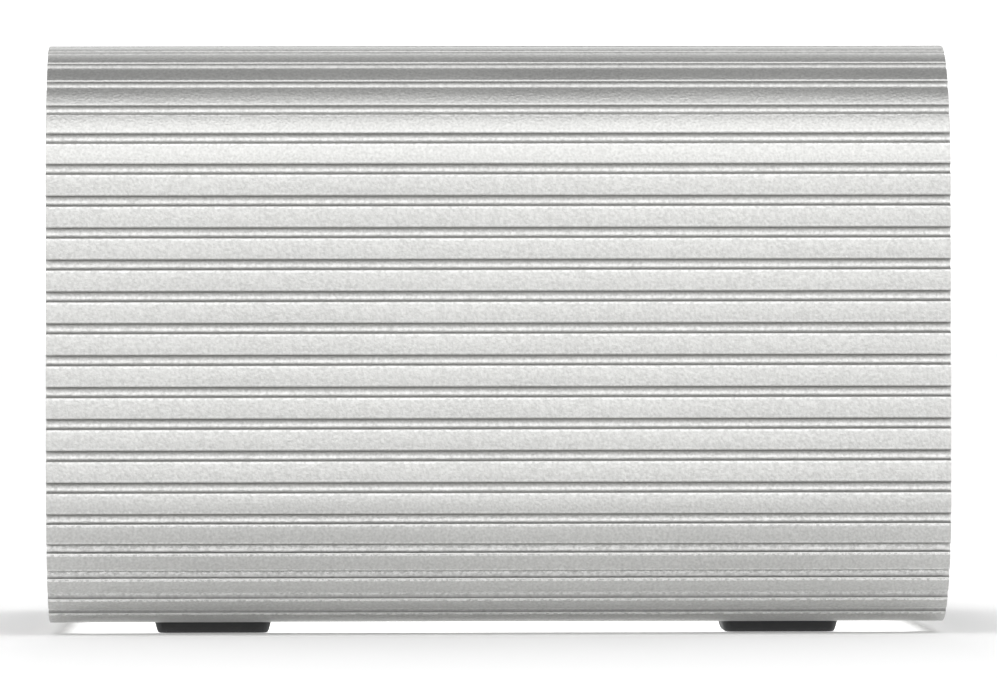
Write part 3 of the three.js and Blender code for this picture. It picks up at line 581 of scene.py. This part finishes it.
PANEL_SCREW = pan_screw(2.8, 1.4, 9, 1.5)
FAN_SCREW = pan_screw(2.7, 1.4, 9, 1.4)
EARTH_SCREW = pan_screw(3.4, 1.9, 8, 1.9, washer=4)


def spot(end, x, y, z=0.0, turn=0.0):
    """A place in an end's frame, turned about x."""
    return end @ Matrix.Translation((x, y, z)) @ Matrix.Rotation(math.radians(turn), 4, "X")


for end_name, end in (("front", FRONT), ("rear", REAR)):
    for i, (y, z) in enumerate(SCREWS):
        name = f"{end_name}_panel_screw_{i + 1}"
        place = spot(end, PANEL_FACE, y, z, 17 + 61 * i)
        piece(f"{name}_head", *PANEL_SCREW, ZINC, where=place, replaces=[name])


# ---------------------------------------------------------------- front end
OUTLETS = (("left", -29.0), ("right", 10.0))
OUTLET_RADIUS, OUTLET_HALF_HEIGHT = 17.2, 14.2
SLOT_Y, SLOT_Z, EARTH_Z = 6.35, 4.2, -7.6
LEDS = (("power_led", 35.6, GREEN_LENS), ("fault_led", 42.8, RED_LENS))
LED_Z, LED_RADIUS = 15.5, 1.5
SWITCH_Y, SWITCH_Z = 39.2, -3.0
ROCKER_REST = 7  # degrees from level
VENT_Z, VENT_STEP = 21.5, 4.4


def outlet_outline(y, grow=0.0):
    """A circle with a flat top and bottom."""
    radius, half = OUTLET_RADIUS + grow, OUTLET_HALF_HEIGHT + grow
    limit = math.asin(half / radius)
    right = [-limit + 2 * limit * i / 28 for i in range(29)]
    return [(y + radius * math.cos(t), radius * math.sin(t)) for t in right] + [
        (y - radius * math.cos(t), -radius * math.sin(t)) for t in right
    ]


def vents(z, count):
    """A row of upright air slots."""
    return [rounded(2, 7, 0.98, -37 + VENT_STEP * i, z, steps=5) for i in range(count)]


def front_panel():
    """The plate with holes for the outlets, the switch, the lamps, the screws and the air."""
    holes = [outlet_outline(y, 0.1) for _, y in OUTLETS]
    holes += [rounded(13, 19, 0.8, SWITCH_Y, SWITCH_Z)]
    holes += [circle(LED_RADIUS + 0.1, y, LED_Z, 24) for _, y, _ in LEDS]
    holes += [circle(SCREW_HOLE, y, z, 24) for y, z in SCREWS]
    holes += vents(VENT_Z, 14) + vents(-VENT_Z, 17)
    return plate([panel_outline(), *holes], PANEL_BACK, PANEL_FACE, 0.22)


def outlet():
    """A three-hole outlet whose slots run deep into its body."""
    half_turn = [math.pi * (1 + i / 16) for i in range(17)]
    earth = [(2.5 * math.cos(t), EARTH_Z + 2.5 * math.sin(t)) for t in half_turn]
    earth += [(2.5, -6.0), (2.2, -5.6), (-2.2, -5.6), (-2.5, -6.0)]
    slots = [rounded(2, tall, 0.25, y, SLOT_Z, steps=3) for y, tall in ((-SLOT_Y, 8), (SLOT_Y, 6.6))]
    holes = [*slots, earth]
    face = plate([outlet_outline(0), *holes], 42.9, 46.5, 0.7, steps=4, back_bevel=0.0)
    flange = plate([rounded(36, 31, 1), *holes], 41.3, 42.9, 0.2)
    body = plate([rounded(33, 27, 1), *holes], 32, 41.4, 0.1)
    back = plate([rounded(33, 27, 1)], 28, 32.1, 0.2)
    return join(face, flange, body, back)


def outlet_contacts():
    """The sprung brass leaves down inside the slots, and the tube in the earth hole."""
    back, front, apart, half_thick = 33, 41.0, 0.72, 0.22
    leaves = []
    for side in (-1, 1):
        for edge in (-1, 1):
            y = side * SLOT_Y + edge * apart
            leaves.append(box(back, front, y - half_thick, y + half_thick, 1.4, 7.0, 0.08))
    tube = plate([circle(2.4, 0, EARTH_Z, 24), circle(2.1, 0, EARTH_Z, 24)], back, front, 0.05)
    return join(*leaves, tube)


def rocker():
    """The rocker, dished on top, on its cross pin. It is drawn from its side and turned to face out."""
    heights = [-7.4 + 14.8 * i / 16 for i in range(17)]
    top = [(1.7 + 0.9 * (z / 7.6) ** 2, z) for z in heights]
    profile = [(-1.5, -7.8), (2.1, -7.8), *top, (2.1, 7.8), (-1.5, 7.8), (-4.6, 2.4), (-4.6, -2.4)]
    paddle = plate([profile], -5.3, 5.3, 0.3, steps=3)
    pin = plate([circle(1.0, sides=24)], -5.9, 5.9, 0.1)
    tilt = Matrix.Rotation(math.radians(ROCKER_REST), 4, "Y")
    return moved(join(paddle, pin), tilt @ Matrix.Rotation(-math.pi / 2, 4, "Z"))


def lamp():
    """A 3 mm lamp with a collar behind the panel and a round end in front of it."""
    radius, collar, shoulder = LED_RADIUS, 1.9, 45.6
    barrel = [(0, 38.2), (radius, 38.2), (radius, 40.8), (collar, 40.8), (collar, 42.6), (radius, 42.6)]
    turns = [math.pi / 2 * i / 10 for i in range(10)]
    dome = [(radius * math.cos(t), shoulder + radius * math.sin(t)) for t in turns]
    return revolved([*barrel, *dome, (0, shoulder + radius)], 32)


piece("front_plate", *front_panel(), POWDER, where=FRONT, replaces=["front_panel"])
for side, y in OUTLETS:
    piece(f"outlet_{side}", *outlet(), OUTLET, where=spot(FRONT, 0, y), replaces=[f"ac_outlet_{side}"])
    piece(f"outlet_{side}_contacts", *outlet_contacts(), BRASS, where=spot(FRONT, 0, y))
place = spot(FRONT, 45.4, SWITCH_Y, SWITCH_Z)
piece("rocker", *rocker(), ROCKER, body="switch_rocker", where=place, replaces=["switch_rocker"])
for name, y, lens in LEDS:
    piece(f"{name}_lens", *lamp(), lens, where=spot(FRONT, 0, y, LED_Z), replaces=[name])


# ---------------------------------------------------------------- rear end
FAN_Y, FAN_SCREW_OUT = -22.0, 16
FAN_SCREWS = [(FAN_Y + a * FAN_SCREW_OUT, b * FAN_SCREW_OUT) for a in (-1, 1) for b in (-1, 1)]
FAN_BLADES, FAN_ROOT, FAN_TIP, FAN_MIDDLE = 7, 10.9, 17.85, 38.25
WELL_Y, WELL_Z = 20.5, -8.0
TERMINAL_OUT, TERMINAL_Z = 9.75, -3
THREAD_PITCH = 0.8
FUSE_Y, FUSE_Z = 20.5, 19.5
EARTH_Y, EARTH_SCREW_Z = 1, 23.5


def grille_holes():
    """Three rings of air slots, crossed by four spokes."""
    half_spoke = 0.9
    holes = []
    for inner, outer in ((14.6, 17.6), (10, 13), (5.4, 8.4)):
        for quarter in range(4):
            points = []
            for radius, way in ((outer, 1), (inner, -1)):
                lean = math.asin(half_spoke / radius)
                turns = [lean + (math.pi / 2 - 2 * lean) * i / 14 for i in range(15)][::way]
                points += [(radius, t + quarter * math.pi / 2) for t in turns]
            holes.append([(FAN_Y + r * math.cos(t), r * math.sin(t)) for r, t in points])
    return holes


def rear_panel():
    """The plate with the fan's grille and holes for the terminals, the fuse and the screws."""
    holes = grille_holes() + [circle(SCREW_HOLE, y, z, 24) for y, z in SCREWS + FAN_SCREWS]
    holes += [rounded(41, 30.4, 1.2, WELL_Y, WELL_Z), rounded(24.4, 9.8, 0.8, FUSE_Y, FUSE_Z)]
    holes += [circle(2.1, EARTH_Y, EARTH_SCREW_Z, 24)]
    return plate([panel_outline(), *holes], PANEL_BACK, PANEL_FACE, 0.22)


def fan_frame():
    """The square shell, and the motor that three struts hold in it."""
    shell = plate([rounded(40, 40, 3), circle(18.6, sides=72)], 32.9, 42.9, 0.3)
    motor = plate([circle(10), circle(1.3, sides=24)], 32.9, 34.1, 0.2)
    stator = plate([circle(8.6), circle(1.3, sides=24)], 34.0, 39.9, 0.2)
    struts = []
    for degrees in (30, 150, 270):
        strut = box(32.95, 34.05, -1, 1, 9, 19, 0.25)
        struts.append(moved(strut, Matrix.Rotation(math.radians(degrees), 4, "X")))
    return join(shell, motor, stator, *struts)


def fan_blade(k):
    """A thin cambered blade between the hub and the tip, as two sheets joined round their edge."""
    rows, columns = 6, 10
    half_depth, sweep, camber = 3.3, 3.0, 0.9
    sheets = []
    for side in (-1, 1):
        for i in range(rows + 1):
            radius = FAN_ROOT + (FAN_TIP - FAN_ROOT) * i / rows
            for j in range(columns + 1):
                s = -1 + 2 * j / columns
                thick = 0.38 * math.sqrt(max(0.0, 1 - s * s)) + 0.06
                swing = sweep * s + camber * (1 - s * s) + side * thick
                turn = swing / radius + 2 * math.pi * k / FAN_BLADES + 0.02 * i
                sheets.append((FAN_MIDDLE + half_depth * s, radius * math.cos(turn), radius * math.sin(turn)))
    size = (rows + 1) * (columns + 1)
    faces = []
    for i in range(rows):
        for j in range(columns):
            a = i * (columns + 1) + j
            b, c, d = a + 1, a + columns + 2, a + columns + 1
            faces += [(a, b, c, d), (size + d, size + c, size + b, size + a)]
    edge = list(range(columns + 1))
    edge += [i * (columns + 1) + columns for i in range(1, rows + 1)]
    edge += [rows * (columns + 1) + j for j in range(columns - 1, -1, -1)]
    edge += [i * (columns + 1) for i in range(rows - 1, 0, -1)]
    for a, b in zip(edge, edge[1:] + edge[:1]):
        faces.append((b, a, size + a, size + b))
    return sheets, faces


def fan_rotor():
    """The hub's cup, its shaft and the blades."""
    cup = [(0, 40.6), (9.8, 40.6), (9.8, 34.45), (11, 34.45), (11, 41.4), (10.8, 41.8), (10.3, 42.05)]
    cup += [(9.0, 42.1), (8.6, 41.95), (3.0, 41.95), (2.6, 42.1), (0, 42.1)]
    shaft = plate([circle(1.2, sides=24)], 33.5, 41, 0.1)
    return join(revolved(cup, 72), shaft, *(fan_blade(k) for k in range(FAN_BLADES)))


def stud():
    """A brass stud with turned threads, its collar and the nut behind the well."""
    root, crest = 2.02, 2.38
    collar = [(0, 37.6), (4.3, 37.6), (4.5, 37.75), (4.5, 38.75), (4.35, 38.9)]
    threads = []
    for i in range(10):
        x = 38.9 + THREAD_PITCH * i
        threads += [(root, x), (crest, x + 0.3), (crest, x + 0.45), (root, x + 0.75)]
    shank = plate([circle(2.4)], 30.8, 37.7, 0.1)
    nut = plate([circle(4.5, sides=6)], 31.3, 33.4, 0.25)
    return join(revolved([*collar, *threads, (1.9, 47.0), (0, 47.2)], 40), shank, nut)


def knob():
    """A fluted thumb nut with a blind hole and a softly rounded crown."""
    radius, flutes, flute_depth, sides = 5.93, 8, 0.9, 160
    fluted = []
    for i in range(sides):
        turn = 2 * math.pi * i / sides
        out = radius - flute_depth * (0.5 - 0.5 * math.cos(flutes * turn)) ** 1.6
        fluted.append((out * math.cos(turn), out * math.sin(turn)))
    hole = circle(2.5, sides=32)
    foot = plate([circle(4.7), hole], 40.5, 41.9, 0.15)
    grip = plate([fluted, hole], 41.75, 47.6, 0.01, back_bevel=0.45)
    top = plate([fluted], 47.55, 48.78, 0.75, steps=6, back_bevel=0.0)
    cap = plate([circle(4.6)], 48.4, 49.55, 0.5, steps=5, back_bevel=0.0)
    return join(foot, grip, top, cap)


def fuse_body():
    """The fuse's plastic: a head to grip and the narrower part that holds the blades."""
    head = plate([rounded(18.8, 4.8, 0.9)], 45.7, 49.3, 0.35, steps=3)
    return join(head, plate([rounded(16, 4.8, 0.6)], 38.3, 45.9, 0.2))


def fuse_blades():
    """Two flat blades and the strip that joins them inside the plastic."""
    blades = [box(30.6, 39.5, y - 2.6, y + 2.6, -0.35, 0.35, 0.12) for y in (-6.6, 6.6)]
    bridge = box(39.4, 44.6, -6.6, 6.6, -0.3, 0.3, 0.1)
    return join(*blades, bridge)


piece("rear_plate", *rear_panel(), POWDER, where=REAR, replaces=["rear_panel"])
piece("fan_housing", *fan_frame(), BLACK, where=spot(REAR, 0, FAN_Y), replaces=["fan_frame"])
piece("fan_wheel", *fan_rotor(), BLACK, body="fan_rotor", where=spot(REAR, 0, FAN_Y), replaces=["fan_rotor"])
for i, (y, z) in enumerate(FAN_SCREWS):
    place = spot(REAR, PANEL_FACE, y, z, 40 + 53 * i)
    piece(f"fan_screw_{i + 1}_head", *FAN_SCREW, ZINC, where=place, replaces=[f"fan_screw_{i + 1}"])
place = spot(REAR, PANEL_FACE, EARTH_Y, EARTH_SCREW_Z, 22)
piece("earth_screw_head", *EARTH_SCREW, ZINC, where=place, replaces=["earth_screw"])
for pole, side, plastic in (("negative", -1, BLACK), ("positive", 1, RED)):
    place = spot(REAR, 0, WELL_Y + side * TERMINAL_OUT, TERMINAL_Z)
    piece(f"{pole}_terminal", *stud(), BRASS, where=place, replaces=[f"{pole}_stud"])
    ring = plate([circle(5.2), circle(2.5, sides=32)], 39.2, 40.2, 0.15)
    piece(f"{pole}_ring", *ring, BRASS, body=f"{pole}_washer", where=place, replaces=[f"{pole}_washer"])
    piece(f"{pole}_thumb_nut", *knob(), plastic, body=f"{pole}_knob", where=place, replaces=[f"{pole}_knob"])
place = spot(REAR, 0, FUSE_Y, FUSE_Z)
piece("fuse_plastic_body", *fuse_body(), FUSE, body="blade_fuse", where=place, replaces=["blade_fuse"])
piece("fuse_metal", *fuse_blades(), TIN, body="blade_fuse", where=place)


# ---------------------------------------------------------------- CAD pieces that are kept
SOFTENED = {"terminal_well": 0.35, "fuse_holder": 0.3, "switch_body": 0.35}


def dress_kept_nodes():
    """Each CAD node gets its slot's material, and the moulded ones in view get soft edges."""
    slots = {s["node"]: s["material_slot"] for s in frame["record"]["subparts"]}
    for name, obj in frame["nodes"].items():
        obj.data.materials.clear()
        obj.data.materials.append(BY_SLOT[slots[name]])
        if name in SOFTENED:
            merge = obj.modifiers.new("merge_flats", "DECIMATE")
            merge.decimate_type = "DISSOLVE"
            merge.angle_limit = math.radians(1)
            edge = obj.modifiers.new("soften_edges", "BEVEL")
            edge.width = SOFTENED[name] * MM
            edge.segments = 3
            edge.limit_method = "ANGLE"
            edge.angle_limit = math.radians(40)


dress_kept_nodes()


# ---------------------------------------------------------------- camera
def add_camera():
    """Almost square to the side of the case and level with its middle. Yaw and roll turn the camera,
    and it looks at a point just beside and below the middle of that side."""
    distance, yaw, roll = 1007.0, math.radians(1.12), math.radians(0.096)
    lens, sensor = 329.416, 36.0
    beside, below = 0.04, 0.6
    s, c = math.sin(yaw), math.cos(yaw)
    target = Vector((0, -WIDTH / 2, MIDDLE))
    place = target + Vector((-c * beside - s * distance, s * beside - c * distance, -below))
    right, upward, forward = Vector((c, -s, 0)), Vector((0, 0, 1)), Vector((s, c, 0))
    cr, sr = math.cos(roll), math.sin(roll)
    axes = (cr * right - sr * upward, sr * right + cr * upward, -forward)
    data = bpy.data.cameras.new("camera")
    data.lens = lens
    data.sensor_width = sensor
    data.clip_end = 100
    camera = bpy.data.objects.new("camera", data)
    turn = Matrix([[a[i] for a in axes] for i in range(3)]).to_4x4()
    camera.matrix_world = Matrix.Translation(place * MM) @ turn
    bpy.context.collection.objects.link(camera)
    bpy.context.scene.camera = camera


# ---------------------------------------------------------------- stage and light
FLOOR_REACH = 20000
UNDER_GLOW, OPEN_GLOW = 1.1, 0.16
# The floor's grid. Each row has the glow under the case at that y, and each column takes all or none
# of it.
COLUMNS = ((-FLOOR_REACH, 0), (-62, 0), (-49, 0), (-46, 1), (46, 1), (49, 0), (62, 0), (FLOOR_REACH, 0))
IN_FRONT = [(y, 0) for y in (-FLOOR_REACH, -600, -350, -200, -120, -75, -54)]
UNDER_CASE = [(-50, 0.06), (-41, 0.06), (-38.5, 0.2), (-36.5, UNDER_GLOW), (40, UNDER_GLOW), (45, 0)]
ROWS = (*IN_FRONT, *UNDER_CASE, (75, 0), (FLOOR_REACH, 0))


def between(value, low, high):
    """0 up to low, 1 from high, and in step between them."""
    return min(1, max(0, (value - low) / (high - low)))


def open_glow(x, y):
    """The faint glow of the floor beside and behind the case, which fades out in front of it."""
    clear_of_case = 1 if abs(x) > 50 or y > 50 else between(-y, 75, 350)
    return OPEN_GLOW * clear_of_case * between(y, -600, -54) ** 2


def add_floor():
    """A pale floor that glows softly under the case, so that the gap there is as bright as the rest."""
    look, tree, shader = material("floor", (0.95, 0.95, 0.95), 0.9, Specular_IOR_Level=0.1)
    shader.inputs["Emission Color"].default_value = (1, 1, 1, 1)
    tree.links.new(attribute(tree, "glow"), shader.inputs["Emission Strength"])
    verts, glow = [], []
    for y, under in ROWS:
        for x, share in COLUMNS:
            verts.append((x * MM, y * MM, 0))
            glow.append(share * under + open_glow(x, y))
    n = len(COLUMNS)
    starts = [row * n + column for row in range(len(ROWS) - 1) for column in range(n - 1)]
    mesh = bpy.data.meshes.new("floor")
    mesh.from_pydata(verts, [], [(i, i + 1, i + n + 1, i + n) for i in starts])
    mesh.attributes.new("glow", "FLOAT", "POINT").data.foreach_set("value", glow)
    floor = bpy.data.objects.new("floor", mesh)
    floor.data.materials.append(look)
    bpy.context.collection.objects.link(floor)


def add_world():
    """A white room: bright round the horizon, darker overhead."""
    world = bpy.data.worlds.new("world")
    bpy.context.scene.world = world
    world.use_nodes = True
    tree = world.node_tree
    background = tree.nodes["Background"]
    coords = tree.nodes.new("ShaderNodeTexCoord")
    split = tree.nodes.new("ShaderNodeSeparateXYZ")
    shades = tree.nodes.new("ShaderNodeValToRGB")
    tree.links.new(coords.outputs["Generated"], split.inputs[0])
    tree.links.new(split.outputs["Z"], shades.inputs["Fac"])
    tree.links.new(shades.outputs["Color"], background.inputs["Color"])
    stops = ((0.0, 1.0), (0.42, 1.0), (0.6, 0.7), (0.75, 0.37), (0.9, 0.2))
    elements = shades.color_ramp.elements
    while len(elements) < len(stops):
        elements.new(0.5)
    for element, (at, value) in zip(elements, stops):
        element.position = at
        element.color = (value, value, value, 1)
    background.inputs["Strength"].default_value = 1.6


def add_light(name, place, target, width, height, watts):
    """A rectangular light that faces its target. Its lengths are in metres."""
    data = bpy.data.lights.new(name, "AREA")
    data.shape = "RECTANGLE"
    data.size, data.size_y = width, height
    data.energy = watts
    light = bpy.data.objects.new(name, data)
    aim = Vector(target) - Vector(place)
    light.matrix_world = Matrix.Translation(place) @ aim.to_track_quat("-Z", "Y").to_matrix().to_4x4()
    bpy.context.collection.objects.link(light)


add_camera()
add_floor()
add_world()
add_light("key", (0.0, -0.93, 1.1), (0, 0, 0.03), 2.4, 0.98, 7.0)

bpy.context.scene.view_settings.view_transform = "Standard"
